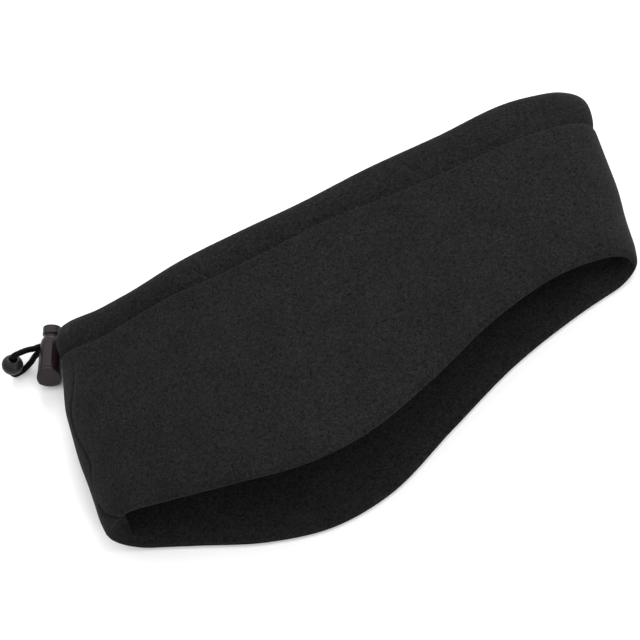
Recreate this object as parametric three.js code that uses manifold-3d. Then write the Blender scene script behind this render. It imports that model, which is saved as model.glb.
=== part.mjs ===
// Ear warmer headband of fleece, lying on its side, with a drawcord in its top edge.
// Millimetres, +Z up. +X runs from the nape fold to the forehead fold, +Y from the mouth to the top edge.
// The origin is the middle of the band's footprint, on the surface that it lies on.
import * as THREE from "three";
import { mergeVertices } from "three/addons/utils/BufferGeometryUtils.js";
import Module from "manifold-3d";

const wasm = await Module();
wasm.setup();

// Sizes of the band.
const BAND_LENGTH = 252; // nape fold to forehead fold, at the middle of the wall
const EAR_DEPTH = 113; // top edge to mouth, where it covers the ears
const ARCH = 40; // how far the upper side arches above the lower one
const LEAN = 0.33; // how far the arch leans towards the top edge, per millimetre of height
const TOP_ARCH = 0.86; // the arch at the top edge, as a share of that at the mouth
const WALL = 4.6; // two layers of fleece
const NAPE_FOLD = 14; // how far the round of each fold reaches in
const FOREHEAD_FOLD = 12;
const CASING_WIDTH = 14; // top edge to casing seam
const CASING_HALF = 4; // half the thickness of the casing over its cord
const SEAM_LAND = 2.4; // from the casing seam to the full wall below it
const LIFT_REACH = 2.5 * WALL; // up to this height, extra thickness pushes the wall up off the surface

// Sizes of the drawcord, and of the buttonhole that it leaves the casing by.
const CORD_DIAMETER = 2.6;
const CORD_DEPTH = 6.3; // top edge to the middle of the cord
const CLEARANCE = 0.3; // between pieces that lie against each other
const STRAND_PITCH = CORD_DIAMETER + CLEARANCE; // the loop's two strands, side by side
const HOLE_ABOVE_FLOOR = 7.2; // where the strands leave
const HOLE_LOW = 3.6;
const HOLE_HIGH = 12.8;
const HOLE_REACH = 3; // how far the buttonhole goes in past the middle of the wall
const HOLE_WIDTH = STRAND_PITCH + CORD_DIAMETER + 3 * CLEARANCE;

// Sizes of the cord lock, along its own axis from the middle of its cord slot.
const LOCK_TURN = 22; // degrees from +Y, of the plunger's end
const LOCK_ROLL = 10; // degrees about its own axis, its upper rib towards the band
const LOCK_OUT = 5.1; // outer face of the fold to the slot's middle
const LOCK_ALONG = 4.2; // buttonhole to the slot's middle, along +Y
const LOCK_ABOVE_FLOOR = 5.8;
const PLUNGER_TRAVEL = 1.2;
const PLUNGER_TOP = 10.5;
const PLUNGER_HEAD = 4.3; // length of the head
const HEAD_RADIUS = 4.1;
const SHAFT_RADIUS = 3.3;
const FOOT_BAR = 2.2; // what is left of the shaft below its slot
const BARREL_MOUTH = PLUNGER_TOP - PLUNGER_HEAD - PLUNGER_TRAVEL - CLEARANCE;
const BARREL_END = -16.2;
const BARREL_RADIUS = 5.1; // at its widest, near the closed end
const SPRING_ROOM = 2.4; // below the pressed plunger
const SLOT_HEIGHT = 4; // across the cord
const SLOT_ROUND = 1.2;
const RIB_WIDTH = 2.8;
const RIB_PROUD = 0.25;
const RIB_FROM_MOUTH = 0.7;
const RIB_FOOT_HEIGHT = 1; // the flared foot of the rib
const RIB_FOOT_WIDTH = 4.2;
const RIB_FROM_FACET = 1.3;
const FACET_START = -11.4; // where the slanted end meets the top of the barrel
const FACET_SLOPE = 0.59; // how far it runs down the barrel, per millimetre of depth

// Sizes of the bead on the end of the loop.
const BEAD_RADIUS = 4.7;
const BEAD_HALF_LENGTH = 4.3;
const BEAD_BORE = CORD_DIAMETER / 2 + 1.5 * CLEARANCE;
const BEAD_FROM_LOCK = new THREE.Vector3(-17.8, -0.1, 1.6);
const BEAD_AXIS = new THREE.Vector3(0.455, 0.196, 0.868).normalize();

// The band from the nape (along 0) to the forehead (along 1). Top is the line of the top edge and
// depth is top edge to mouth, as shares of EAR_DEPTH; arch is a share of ARCH.
const SIDE = [
  { along: 0.0, top: 0.505, depth: 0.866, arch: 0.46 },
  { along: 0.05, top: 0.437, depth: 0.838, arch: 0.6 },
  { along: 0.12, top: 0.403, depth: 0.867, arch: 0.745 },
  { along: 0.24, top: 0.381, depth: 0.951, arch: 0.965 },
  { along: 0.35, top: 0.384, depth: 1.003, arch: 1.0 },
  { along: 0.46, top: 0.408, depth: 1.0, arch: 0.93 },
  { along: 0.6, top: 0.469, depth: 0.93, arch: 0.778 },
  { along: 0.74, top: 0.484, depth: 0.816, arch: 0.735 },
  { along: 0.88, top: 0.52, depth: 0.768, arch: 0.635 },
  { along: 1.0, top: 0.536, depth: 0.738, arch: 0.37 },
];

// The two folds from the top edge (down 0) to the mouth (down 1), as shares of BAND_LENGTH.
const FOLDS = [
  { down: 0.0, nape: -0.437, forehead: 0.514 },
  { down: 0.13, nape: -0.46, forehead: 0.5125 },
  { down: 0.3, nape: -0.481, forehead: 0.507 },
  { down: 0.55, nape: -0.491, forehead: 0.4965 },
  { down: 0.8, nape: -0.4925, forehead: 0.481 },
  { down: 1.0, nape: -0.494, forehead: 0.471 },
];

// Half the wall's thickness from the top edge down: over the casing, as shares of CASING_WIDTH and
// CASING_HALF, then at the mouth, as shares of WALL from the edge and of WALL.
const CASING = [
  { down: 0.0, half: 0.0 },
  { down: 0.07, half: 0.5 },
  { down: 0.22, half: 0.84 },
  { down: 0.42, half: 1.0 },
  { down: 0.62, half: 0.95 },
  { down: 0.83, half: 0.74 },
  { down: 1.0, half: 0.5 },
];
const RIM = [
  { from_edge: 1.3, half: 0.5 },
  { from_edge: 0.6, half: 0.56 },
  { from_edge: 0.17, half: 0.4 },
  { from_edge: 0.0, half: 0.0 },
];

// The moulded outlines of the lock, all as shares: of BARREL_RADIUS from the barrel's closed end and
// from its mouth, and of HEAD_RADIUS from the underside of the head and from its top.
const BARREL_BASE = [
  { from_end: 0, radius: 0.6 },
  { from_end: 0.083, radius: 0.87 },
  { from_end: 0.31, radius: 1 },
  { from_end: 1.18, radius: 1 },
];
const BARREL_SHOULDER = [
  { from_mouth: 1.19, radius: 0.97 },
  { from_mouth: 0.42, radius: 0.935 },
  { from_mouth: 0.2, radius: 0.87 },
  { from_mouth: 0, radius: 0.78 },
];
const HEAD_UNDERSIDE = [
  { from_under: 0, radius: 0.92 },
  { from_under: 0.13, radius: 1 },
];
const HEAD_CROWN = [
  { from_top: 0.22, radius: 1 },
  { from_top: 0.05, radius: 0.87 },
  { from_top: 0, radius: 0.6 },
];

const WALL_ROWS = 4; // rows of faces between casing and rim
const RUN_STEPS = 22; // stations along each side of the ring
const FOLD_STEPS = 10; // stations round each fold
const CORD_SIDES = 8;
const LOOP_STEPS = 70;
const TURNED_SIDES = 28; // faces round the lock and the bead

const turn = THREE.MathUtils.degToRad(LOCK_TURN);
const lockTurns = new THREE.Euler(0, THREE.MathUtils.degToRad(LOCK_ROLL), -turn, "ZYX");

// Reads a named column of a table at a place between its rows, on one smooth curve.
function read(table, key, column, place) {
  const at = Math.min(Math.max(place, table[0][key]), table[table.length - 1][key]);
  let i = 0;
  while (i < table.length - 2 && at > table[i + 1][key]) i += 1;
  const slope = (j) => {
    const before = table[Math.max(j - 1, 0)];
    const after = table[Math.min(j + 1, table.length - 1)];
    if (before === table[j] || after === table[j]) {
      return (after[column] - before[column]) / (after[key] - before[key]);
    }
    const left = table[j][key] - before[key];
    const right = after[key] - table[j][key];
    const rise = ((table[j][column] - before[column]) / left) * right;
    return (rise + ((after[column] - table[j][column]) / right) * left) / (left + right);
  };
  const gap = table[i + 1][key] - table[i][key];
  const s = (at - table[i][key]) / gap;
  const start = (2 * s ** 3 - 3 * s ** 2 + 1) * table[i][column];
  const lead = (s ** 3 - 2 * s ** 2 + s) * gap * slope(i);
  const end = (3 * s ** 2 - 2 * s ** 3) * table[i + 1][column];
  return start + lead + end + (s ** 3 - s ** 2) * gap * slope(i + 1);
}

// Where station 0 to 4 lies on the ring: 0 to 1 along the lower side, to 2 up the forehead fold,
// to 3 back along the upper side and to 4 down the nape fold.
function stationOf(station, down) {
  const nape = read(FOLDS, "down", "nape", down) * BAND_LENGTH;
  const forehead = read(FOLDS, "down", "forehead", down) * BAND_LENGTH;
  const part = Math.min(Math.floor(station), 3);
  const share = station - part;
  const low = nape + NAPE_FOLD;
  const high = forehead - FOREHEAD_FOLD;
  if (part === 0) return { nape, forehead, x: low + (high - low) * share, height: 0 };
  if (part === 2) return { nape, forehead, x: high + (low - high) * share, height: 2 };
  const angle = Math.PI * (share - 0.5);
  if (part === 1) {
    return { nape, forehead, x: high + FOREHEAD_FOLD * Math.cos(angle), height: 1 + Math.sin(angle) };
  }
  return { nape, forehead, x: low - NAPE_FOLD * Math.cos(angle), height: 1 - Math.sin(angle) };
}

// The middle of the wall at a station, with down as a share from the top edge to the mouth.
function middle(station, down) {
  const place = stationOf(station, down);
  const along = (place.x - place.nape) / (place.forehead - place.nape);
  const share = TOP_ARCH + (1 - TOP_ARCH) * down;
  const height = (read(SIDE, "along", "arch", along) * ARCH * share * place.height) / 2;
  const top = read(SIDE, "along", "top", along) * EAR_DEPTH;
  const depth = read(SIDE, "along", "depth", along) * EAR_DEPTH;
  return new THREE.Vector3(place.x, top - down * depth + LEAN * height, height + WALL / 2);
}

// Top edge to mouth at a station, in millimetres.
function depthAt(station) {
  const place = stationOf(station, 0.5);
  const along = (place.x - place.nape) / (place.forehead - place.nape);
  return read(SIDE, "along", "depth", along) * EAR_DEPTH;
}

// The way along the ring, the way out of the wall and the way across, at a station.
function directions(station, down) {
  const STEP = 0.002;
  const before = (station + 4 - STEP) % 4;
  const after = (station + STEP) % 4;
  const along = middle(after, down).sub(middle(before, down)).normalize();
  const across = middle(station, Math.min(down + STEP, 1)).sub(middle(station, Math.max(down - STEP, 0)));
  const out = new THREE.Vector3().crossVectors(along, across).normalize();
  return { along, out, across: new THREE.Vector3().crossVectors(out, along) };
}

// What is thicker than the wall stands up from the surface below, so that the underside stays flat.
function lift(half, height) {
  const fade = Math.max(0, 1 - (height - WALL / 2) / LIFT_REACH);
  return Math.max(0, half - WALL / 2) * fade;
}

// A place in the wall: down in millimetres from the top edge, out from the middle of the wall.
function inWall(station, downLength, half, outwards) {
  const down = downLength / depthAt(station);
  const point = middle(station, down);
  const raise = lift(half, point.z);
  point.addScaledVector(directions(station, down).out, outwards);
  point.z = Math.max(0, point.z + raise);
  return point;
}

// The wall's rows at a station, from the top edge to the mouth.
function wallRows(station) {
  const depth = depthAt(station);
  const rows = CASING.map((row) => ({ at: row.down * CASING_WIDTH, half: row.half * CASING_HALF }));
  const first = CASING_WIDTH + SEAM_LAND;
  const last = depth - RIM[0].from_edge * WALL;
  for (let i = 0; i < WALL_ROWS; i += 1) {
    rows.push({ at: first + ((last - first) * i) / WALL_ROWS, half: WALL / 2 });
  }
  RIM.forEach((row) => rows.push({ at: depth - row.from_edge * WALL, half: row.half * WALL }));
  return rows;
}

// The outline of the wall at a station: down its outer face and back up its inner one.
function wallSection(station) {
  const rows = wallRows(station);
  const outer = rows.map((row) => inWall(station, row.at, row.half, row.half));
  const inner = rows.slice(1, -1).map((row) => inWall(station, row.at, row.half, -row.half));
  return outer.concat(inner.reverse());
}

// A round section of the cord's channel at a station.
function roundSection(station, radius) {
  const half = read(CASING, "down", "half", CORD_DEPTH / CASING_WIDTH) * CASING_HALF;
  const centre = inWall(station, CORD_DEPTH, half, 0);
  const way = directions(station, CORD_DEPTH / depthAt(station));
  return Array.from({ length: CORD_SIDES }, (_, i) => {
    const angle = (2 * Math.PI * (i + 0.5)) / CORD_SIDES;
    return centre.clone().addScaledVector(way.across, radius * Math.cos(angle))
      .addScaledVector(way.out, -radius * Math.sin(angle));
  });
}

// Skins a row of sections with faces, and closes it into a ring or caps its two ends.
function skin(sections, isRing) {
  const size = sections[0].length;
  const positions = sections.flat().flatMap((point) => point.toArray());
  const faces = [];
  const spans = isRing ? sections.length : sections.length - 1;
  for (let i = 0; i < spans; i += 1) {
    const a = i * size;
    const b = ((i + 1) % sections.length) * size;
    for (let j = 0; j < size; j += 1) {
      const k = (j + 1) % size;
      faces.push(a + j, b + j, b + k, a + j, b + k, a + k);
    }
  }
  const end = (sections.length - 1) * size;
  for (let j = 1; !isRing && j < size - 1; j += 1) {
    faces.push(0, j, j + 1, end, end + j + 1, end + j);
  }
  const geometry = new THREE.BufferGeometry();
  geometry.setAttribute("position", new THREE.Float32BufferAttribute(positions, 3));
  geometry.setIndex(faces);
  return geometry;
}

function toSolid(geometry) {
  const bare = geometry.clone();
  bare.deleteAttribute("normal");
  bare.deleteAttribute("uv");
  const merged = mergeVertices(bare, 1e-4);
  return new wasm.Manifold(new wasm.Mesh({
    numProp: 3,
    vertProperties: new Float32Array(merged.attributes.position.array),
    triVerts: new Uint32Array(merged.index.array),
  }));
}

function toGeometry(solid) {
  const mesh = solid.getMesh();
  const geometry = new THREE.BufferGeometry();
  geometry.setAttribute("position", new THREE.Float32BufferAttribute(mesh.vertProperties, 3));
  geometry.setIndex(Array.from(mesh.triVerts));
  return geometry;
}

// The stations of the ring, closer together round the folds.
const stations = [RUN_STEPS, FOLD_STEPS, RUN_STEPS, FOLD_STEPS].flatMap((steps, part) =>
  Array.from({ length: steps }, (_, i) => part + i / steps));

// The buttonhole: a slot through the outer layer of the casing at the nape fold, down to the cord.
const foldMiddle = inWall(3.5, CORD_DEPTH, WALL / 2, 0);
const foldFace = inWall(3.5, CORD_DEPTH, WALL / 2, CASING_HALF);
const buttonhole = new THREE.Box3(
  new THREE.Vector3(foldFace.x - CASING_HALF, foldMiddle.y - HOLE_WIDTH / 2, HOLE_LOW),
  new THREE.Vector3(foldMiddle.x + HOLE_REACH, foldMiddle.y + HOLE_WIDTH / 2, HOLE_HIGH),
);

function boxSolid(box) {
  const size = box.getSize(new THREE.Vector3());
  const centre = box.getCenter(new THREE.Vector3());
  return toSolid(new THREE.BoxGeometry(size.x, size.y, size.z).translate(...centre.toArray()));
}

// The fleece band, with the channel for its cord run through the casing.
function fleeceBand() {
  const wall = toSolid(skin(stations.map(wallSection), true));
  const channelRadius = CORD_DIAMETER / 2 + 1.15 * CLEARANCE;
  const channel = toSolid(skin(stations.map((station) => roundSection(station, channelRadius)), true));
  return toGeometry(wall.subtract(channel).subtract(boxSolid(buttonhole)));
}

// Where the channel enters the buttonhole, walking from the middle of the nape fold.
function channelMouth(step) {
  const half = read(CASING, "down", "half", CORD_DEPTH / CASING_WIDTH) * CASING_HALF;
  let station = 3.5;
  while (buttonhole.containsPoint(inWall(station, CORD_DEPTH, half, 0))) station += step;
  return station;
}
const upperMouth = channelMouth(-0.005);
const lowerMouth = channelMouth(0.005);

// The stretch of drawcord inside the casing, from the lower side of the buttonhole round to its upper side.
function drawcordRun() {
  const restOfFold = stations.filter((station) => station > lowerMouth);
  const roundTheHead = stations.filter((station) => station < upperMouth);
  const walked = [lowerMouth, ...restOfFold, ...roundTheHead, upperMouth];
  return skin(walked.map((station) => roundSection(station, CORD_DIAMETER / 2)), false);
}

// The middle of a section, which is where the cord runs.
function cordPlace(station) {
  const section = roundSection(station, CORD_DIAMETER / 2);
  return section.reduce((sum, point) => sum.add(point), new THREE.Vector3()).divideScalar(section.length);
}

// The middle of the lock's cord slot, out from the buttonhole.
const lockPlace = new THREE.Vector3(foldFace.x - LOCK_OUT, foldMiddle.y + LOCK_ALONG, LOCK_ABOVE_FLOOR);
const beadPlace = lockPlace.clone().add(BEAD_FROM_LOCK);

// The loop's route. Its first and last points leave the channel, the next ones are from the
// buttonhole's face, then come those through the lock and the bead, from the lock's slot.
const NEAR_STRAND = [[0.2, 0.2, 3.6], [-1.0, 0.9, 1.3], [-3.0, 2.2, -1.1]];
const TO_BEAD = [[-4.1, 3.1, 0.7], [-6.5, 2.6, 2.0], [-8.9, 2.0, 4.3], [-11.0, 1.1, 6.3], [-13.0, 0.5, 7.4],
  [-15.0, 0.6, 7.0]];
const FROM_BEAD = [[-19.7, -1.4, -3.2], [-19.1, -1.7, -4.2], [-17.4, -1.7, -4.4], [-14.5, -1.1, -4.35],
  [-12.2, -0.6, -3.6], [-10.0, 0.0, -2.6], [-7.9, 0.5, -0.9], [-5.1, 0.5, 0.7]];
const FAR_STRAND = [[-3.4, -0.2, -1.4], [-0.9, -0.8, -1.6]];

function drawcordLoop() {
  const holeFace = new THREE.Vector3(foldMiddle.x, foldMiddle.y, HOLE_ABOVE_FLOOR);
  const from = (base, list) => list.map((step) => new THREE.Vector3(...step).add(base));
  const along = new THREE.Vector3(Math.sin(turn), Math.cos(turn), 0).multiplyScalar(STRAND_PITCH / 2);
  const through = new THREE.Vector3(SHAFT_RADIUS, 0, 0).applyEuler(lockTurns);
  const near = [through, new THREE.Vector3()].map((step) => lockPlace.clone().add(along).add(step));
  const far = [new THREE.Vector3(), through].map((step) => lockPlace.clone().sub(along).add(step));
  const inBead = [1, 0, -1].map((share) =>
    beadPlace.clone().addScaledVector(BEAD_AXIS, share * BEAD_HALF_LENGTH));
  const start = cordPlace(upperMouth);
  const startWay = directions(upperMouth, CORD_DEPTH / depthAt(upperMouth)).along;
  const end = cordPlace(lowerMouth);
  const endWay = directions(lowerMouth, CORD_DEPTH / depthAt(lowerMouth)).along;
  const route = new THREE.CatmullRomCurve3([
    start.clone().addScaledVector(startWay, CLEARANCE),
    start.clone().addScaledVector(startWay, 3 * CLEARANCE),
    ...from(holeFace, NEAR_STRAND), ...near, ...from(lockPlace, TO_BEAD), ...inBead,
    ...from(lockPlace, FROM_BEAD), ...far, ...from(holeFace, FAR_STRAND),
    end.clone().addScaledVector(endWay, -3 * CLEARANCE),
    end.clone().addScaledVector(endWay, -CLEARANCE),
  ], false, "centripetal");
  const outline = new THREE.Shape(Array.from({ length: CORD_SIDES }, (_, i) => {
    const angle = (2 * Math.PI * i) / CORD_SIDES;
    return new THREE.Vector2(Math.cos(angle), Math.sin(angle)).multiplyScalar(CORD_DIAMETER / 2);
  }));
  return new THREE.ExtrudeGeometry(outline, { steps: LOOP_STEPS, bevelEnabled: false, extrudePath: route });
}

// Spins a closed outline of (radius, height) pairs about the lock's axis.
function turned(outline) {
  const points = outline.map(([radius, height]) => new THREE.Vector2(radius, height));
  return toSolid(new THREE.LatheGeometry(points, TURNED_SIDES));
}

// A slot with round corners right across the lock, from one height to another.
function slot(low, high) {
  const shape = new THREE.Shape();
  const half = SLOT_HEIGHT / 2;
  shape.moveTo(-half + SLOT_ROUND, low);
  shape.absarc(half - SLOT_ROUND, low + SLOT_ROUND, SLOT_ROUND, -Math.PI / 2, 0, false);
  shape.absarc(half - SLOT_ROUND, high - SLOT_ROUND, SLOT_ROUND, 0, Math.PI / 2, false);
  shape.absarc(-half + SLOT_ROUND, high - SLOT_ROUND, SLOT_ROUND, Math.PI / 2, Math.PI, false);
  shape.absarc(-half + SLOT_ROUND, low + SLOT_ROUND, SLOT_ROUND, Math.PI, 1.5 * Math.PI, false);
  const length = 4 * BARREL_RADIUS;
  const geometry = new THREE.ExtrudeGeometry(shape, { depth: length, bevelEnabled: false, curveSegments: 3 });
  return toSolid(geometry.translate(0, 0, -length / 2).rotateY(Math.PI / 2));
}

const slotReach = STRAND_PITCH / 2 + CORD_DIAMETER / 2 + CLEARANCE;

// A grip rib along the barrel, with a wider foot, standing proud of the barrel by RIB_PROUD.
function rib() {
  const top = BARREL_MOUTH - RIB_FROM_MOUTH;
  const foot = FACET_START + RIB_FROM_FACET;
  const half = RIB_WIDTH / 2;
  const shape = new THREE.Shape();
  shape.moveTo(-half, top - half);
  shape.absarc(0, top - half, half, Math.PI, 0, true);
  shape.lineTo(half, foot + RIB_FOOT_HEIGHT);
  shape.lineTo(RIB_FOOT_WIDTH / 2, foot);
  shape.lineTo(-RIB_FOOT_WIDTH / 2, foot);
  shape.lineTo(-half, foot + RIB_FOOT_HEIGHT);
  const depth = BARREL_RADIUS + RIB_PROUD - SHAFT_RADIUS - 3 * CLEARANCE;
  const geometry = new THREE.ExtrudeGeometry(shape, { depth, bevelEnabled: false, curveSegments: 4 });
  return geometry.translate(0, 0, SHAFT_RADIUS + 3 * CLEARANCE);
}

// The barrel: a moulded cup that widens to its closed end, where the upper side is cut off slantwise.
function lockBarrel() {
  const bore = SHAFT_RADIUS + CLEARANCE;
  const floor = -slotReach - FOOT_BAR - PLUNGER_TRAVEL - SPRING_ROOM;
  const base = BARREL_BASE.map((row) =>
    [row.radius * BARREL_RADIUS, BARREL_END + row.from_end * BARREL_RADIUS]);
  const shoulder = BARREL_SHOULDER.map((row) =>
    [row.radius * BARREL_RADIUS, BARREL_MOUTH - row.from_mouth * BARREL_RADIUS]);
  const cup = [[bore, BARREL_MOUTH], [bore, floor], [0, floor]];
  const shell = turned([[0, BARREL_END], ...base, ...shoulder, ...cup, [0, BARREL_END]]);
  const size = 4 * BARREL_RADIUS;
  const slant = Math.atan(FACET_SLOPE);
  const facet = new THREE.BoxGeometry(size, size, size).translate(0, -size / 2, 0)
    .rotateX(-slant).translate(0, FACET_START, BARREL_RADIUS);
  const ribs = toSolid(rib()).add(toSolid(rib().rotateY(Math.PI)));
  return toGeometry(shell.add(ribs).subtract(toSolid(facet)).subtract(slot(-slotReach, slotReach)));
}

// The plunger: a shaft in the barrel with a head to press, slotted long enough for its travel.
function lockPlunger() {
  const under = PLUNGER_TOP - PLUNGER_HEAD;
  const foot = -slotReach - FOOT_BAR;
  const underside = HEAD_UNDERSIDE.map((row) =>
    [row.radius * HEAD_RADIUS, under + row.from_under * HEAD_RADIUS]);
  const crown = HEAD_CROWN.map((row) =>
    [row.radius * HEAD_RADIUS, PLUNGER_TOP - row.from_top * HEAD_RADIUS]);
  const shaft = [[0, foot], [SHAFT_RADIUS, foot], [SHAFT_RADIUS, under]];
  const body = turned([...shaft, ...underside, ...crown, [0, PLUNGER_TOP], [0, foot]]);
  return toGeometry(body.subtract(slot(-slotReach, slotReach + PLUNGER_TRAVEL)));
}

// The bead: a ball a little shorter than it is wide, bored for the cord, with a rounded mouth at each end.
function cordBead() {
  const ARC_STEPS = 8;
  const WIDEST = Math.PI / 3;
  const outline = Array.from({ length: ARC_STEPS + 1 }, (_, i) => {
    const angle = WIDEST * ((2 * i) / ARC_STEPS - 1);
    return [BEAD_RADIUS * Math.cos(angle), BEAD_HALF_LENGTH * Math.sin(angle)];
  });
  const lip = outline[ARC_STEPS][1];
  outline.push([BEAD_BORE + CLEARANCE, lip], [BEAD_BORE, lip - CLEARANCE]);
  outline.push([BEAD_BORE, CLEARANCE - lip], [BEAD_BORE + CLEARANCE, -lip], outline[0]);
  return toGeometry(turned(outline));
}

const fleece = new THREE.MeshStandardMaterial({ color: "#262627", roughness: 0.95, metalness: 0 });
const elastic = new THREE.MeshStandardMaterial({ color: "#1b1a1d", roughness: 0.7, metalness: 0 });
const plastic = new THREE.MeshStandardMaterial({ color: "#3a3437", roughness: 0.4, metalness: 0 });
const beadPlastic = new THREE.MeshStandardMaterial({ color: "#403d42", roughness: 0.35, metalness: 0 });

function named(name, geometry, material) {
  const mesh = new THREE.Mesh(geometry, material);
  mesh.name = name;
  return mesh;
}

const band = named("fleece_band", fleeceBand(), fleece);

const lock = new THREE.Group();
lock.position.copy(lockPlace);
lock.rotation.copy(lockTurns);
lock.add(named("lock_barrel", lockBarrel(), plastic));
lock.add(named("lock_plunger", lockPlunger(), plastic));

const bead = named("cord_bead", cordBead(), beadPlastic);
bead.position.copy(beadPlace);
bead.quaternion.setFromUnitVectors(new THREE.Vector3(0, 1, 0), BEAD_AXIS);

const group = new THREE.Group();
group.add(band);
group.add(named("drawcord_run", drawcordRun(), elastic));
group.add(named("drawcord_loop", drawcordLoop(), elastic));
group.add(lock, bead);

// Puts the origin under the middle of the band.
const footprint = new THREE.Box3().setFromObject(band).getCenter(new THREE.Vector3());
group.position.set(-footprint.x, -footprint.y, 0);

export default group;
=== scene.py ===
"""Ear warmer headband of black fleece, lying on its side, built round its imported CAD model."""
import math
import bmesh
import bpy
import numpy as np
from mathutils import Matrix, Vector, noise


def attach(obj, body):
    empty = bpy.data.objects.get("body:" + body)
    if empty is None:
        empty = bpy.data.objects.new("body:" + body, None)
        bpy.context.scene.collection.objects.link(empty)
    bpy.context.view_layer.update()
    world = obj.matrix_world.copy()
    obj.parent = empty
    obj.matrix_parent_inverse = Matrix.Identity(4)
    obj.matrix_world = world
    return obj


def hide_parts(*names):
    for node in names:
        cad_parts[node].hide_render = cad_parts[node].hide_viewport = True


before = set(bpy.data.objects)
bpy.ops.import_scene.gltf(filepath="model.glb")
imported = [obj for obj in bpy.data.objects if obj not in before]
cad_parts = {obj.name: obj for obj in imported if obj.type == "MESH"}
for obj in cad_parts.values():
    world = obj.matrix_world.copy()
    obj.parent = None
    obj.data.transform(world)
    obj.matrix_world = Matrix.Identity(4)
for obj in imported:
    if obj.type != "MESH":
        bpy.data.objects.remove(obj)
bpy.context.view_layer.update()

# ---- The fleece band
# A closed band of stretch fleece, cut in one shaped piece and folded into two layers. It is seamed
# along the mouth and turned right side out, closed up the nape, and topstitched below its top edge
# to make a casing for the drawcord. It lies on its side, so the upper wall arches over the lower.
BAND_LENGTH = 252  # nape fold to forehead fold, all in millimetres as in the pattern
EAR_DEPTH = 113
ARCH = 40
LEAN = 0.33
TOP_ARCH = 0.86
WALL = 4.6
NAPE_FOLD = 14
FOREHEAD_FOLD = 12
CASING_WIDTH = 14
CASING_HALF = 4
CASING_CROWN = 5.9  # top edge to the thickest part of the casing
SEAM_LAND = 2.4
LIFT_REACH = 2.5 * WALL
RIM_ROUND = 1.8  # the turned mouth edge
RIM_POWER = 2.4  # 2 is a round edge, more is squarer
RIM_TAPER = 0.95  # how much the pressed edge thins on each face
TAPER_REACH = 8.5
PATTERN_SHIFT = np.array([-3.1756, 1.998, 0.0])  # puts the origin under the middle of the band

# The band from nape to forehead: its top edge and depth as shares of EAR_DEPTH, its arch of ARCH.
SIDE = [
    {"along": 0.0, "top": 0.505, "depth": 0.866, "arch": 0.46},
    {"along": 0.05, "top": 0.437, "depth": 0.838, "arch": 0.6},
    {"along": 0.12, "top": 0.403, "depth": 0.867, "arch": 0.745},
    {"along": 0.24, "top": 0.381, "depth": 0.951, "arch": 0.965},
    {"along": 0.35, "top": 0.384, "depth": 1.003, "arch": 1.0},
    {"along": 0.46, "top": 0.408, "depth": 1.0, "arch": 0.93},
    {"along": 0.6, "top": 0.469, "depth": 0.93, "arch": 0.778},
    {"along": 0.74, "top": 0.484, "depth": 0.816, "arch": 0.735},
    {"along": 0.88, "top": 0.52, "depth": 0.768, "arch": 0.635},
    {"along": 1.0, "top": 0.536, "depth": 0.738, "arch": 0.37},
]
# Where the two folds lie, as shares of BAND_LENGTH from the middle of the pattern.
FOLDS = [
    {"down": 0.0, "nape": -0.437, "forehead": 0.514},
    {"down": 0.13, "nape": -0.46, "forehead": 0.5125},
    {"down": 0.3, "nape": -0.481, "forehead": 0.507},
    {"down": 0.55, "nape": -0.491, "forehead": 0.4965},
    {"down": 0.8, "nape": -0.4925, "forehead": 0.481},
    {"down": 1.0, "nape": -0.494, "forehead": 0.471},
]
# Half the casing's thickness as shares of CASING_HALF, across CASING_WIDTH.
CASING = [
    {"down": 0.0, "half": 0.0},
    {"down": 0.07, "half": 0.5},
    {"down": 0.22, "half": 0.84},
    {"down": 0.42, "half": 1.0},
    {"down": 0.62, "half": 0.95},
    {"down": 0.83, "half": 0.74},
    {"down": 1.0, "half": 0.5},
]
# Where the casing's seam is sewn, as shares of CASING_WIDTH from the top edge.
CASING_SEAM = [
    {"along": 0.0, "seam": 0.96},
    {"along": 0.1, "seam": 0.96},
    {"along": 0.16, "seam": 0.92},
    {"along": 0.3, "seam": 1.1},
    {"along": 0.4, "seam": 1.06},
    {"along": 0.5, "seam": 1.0},
    {"along": 0.6, "seam": 1.2},
    {"along": 0.75, "seam": 1.3},
    {"along": 0.88, "seam": 1.36},
    {"along": 1.0, "seam": 1.2},
]
# The seam that closes the band up the nape, and the crease where the mouth's edge is folded round
# there (edge is its distance from the edge), as stations of the ring.
NAPE_SEAM = [
    {"down": 0.0, "station": 3.24},
    {"down": 0.36, "station": 3.21},
    {"down": 0.46, "station": 3.3},
    {"down": 0.52, "station": 3.3},
    {"down": 0.64, "station": 3.24},
    {"down": 0.71, "station": 3.23},
    {"down": 0.76, "station": 3.29},
    {"down": 0.85, "station": 3.31},
    {"down": 1.0, "station": 3.28},
]
MOUTH_CREASE = [
    {"edge": 0, "station": 3.15},
    {"edge": 6, "station": 3.28},
    {"edge": 9, "station": 3.31},
    {"edge": 14, "station": 3.32},
]
# How far the stiff end of the casing bulges over the lock, and the wall below it draws back, in
# millimetres, down from the top edge.
CORNER = [
    {"from_top": 0, "bulge": 2.4},
    {"from_top": 7, "bulge": 2},
    {"from_top": 13, "bulge": 0.7},
    {"from_top": 19, "bulge": -0.9},
    {"from_top": 26, "bulge": -1.3},
    {"from_top": 38, "bulge": 0},
]


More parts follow.
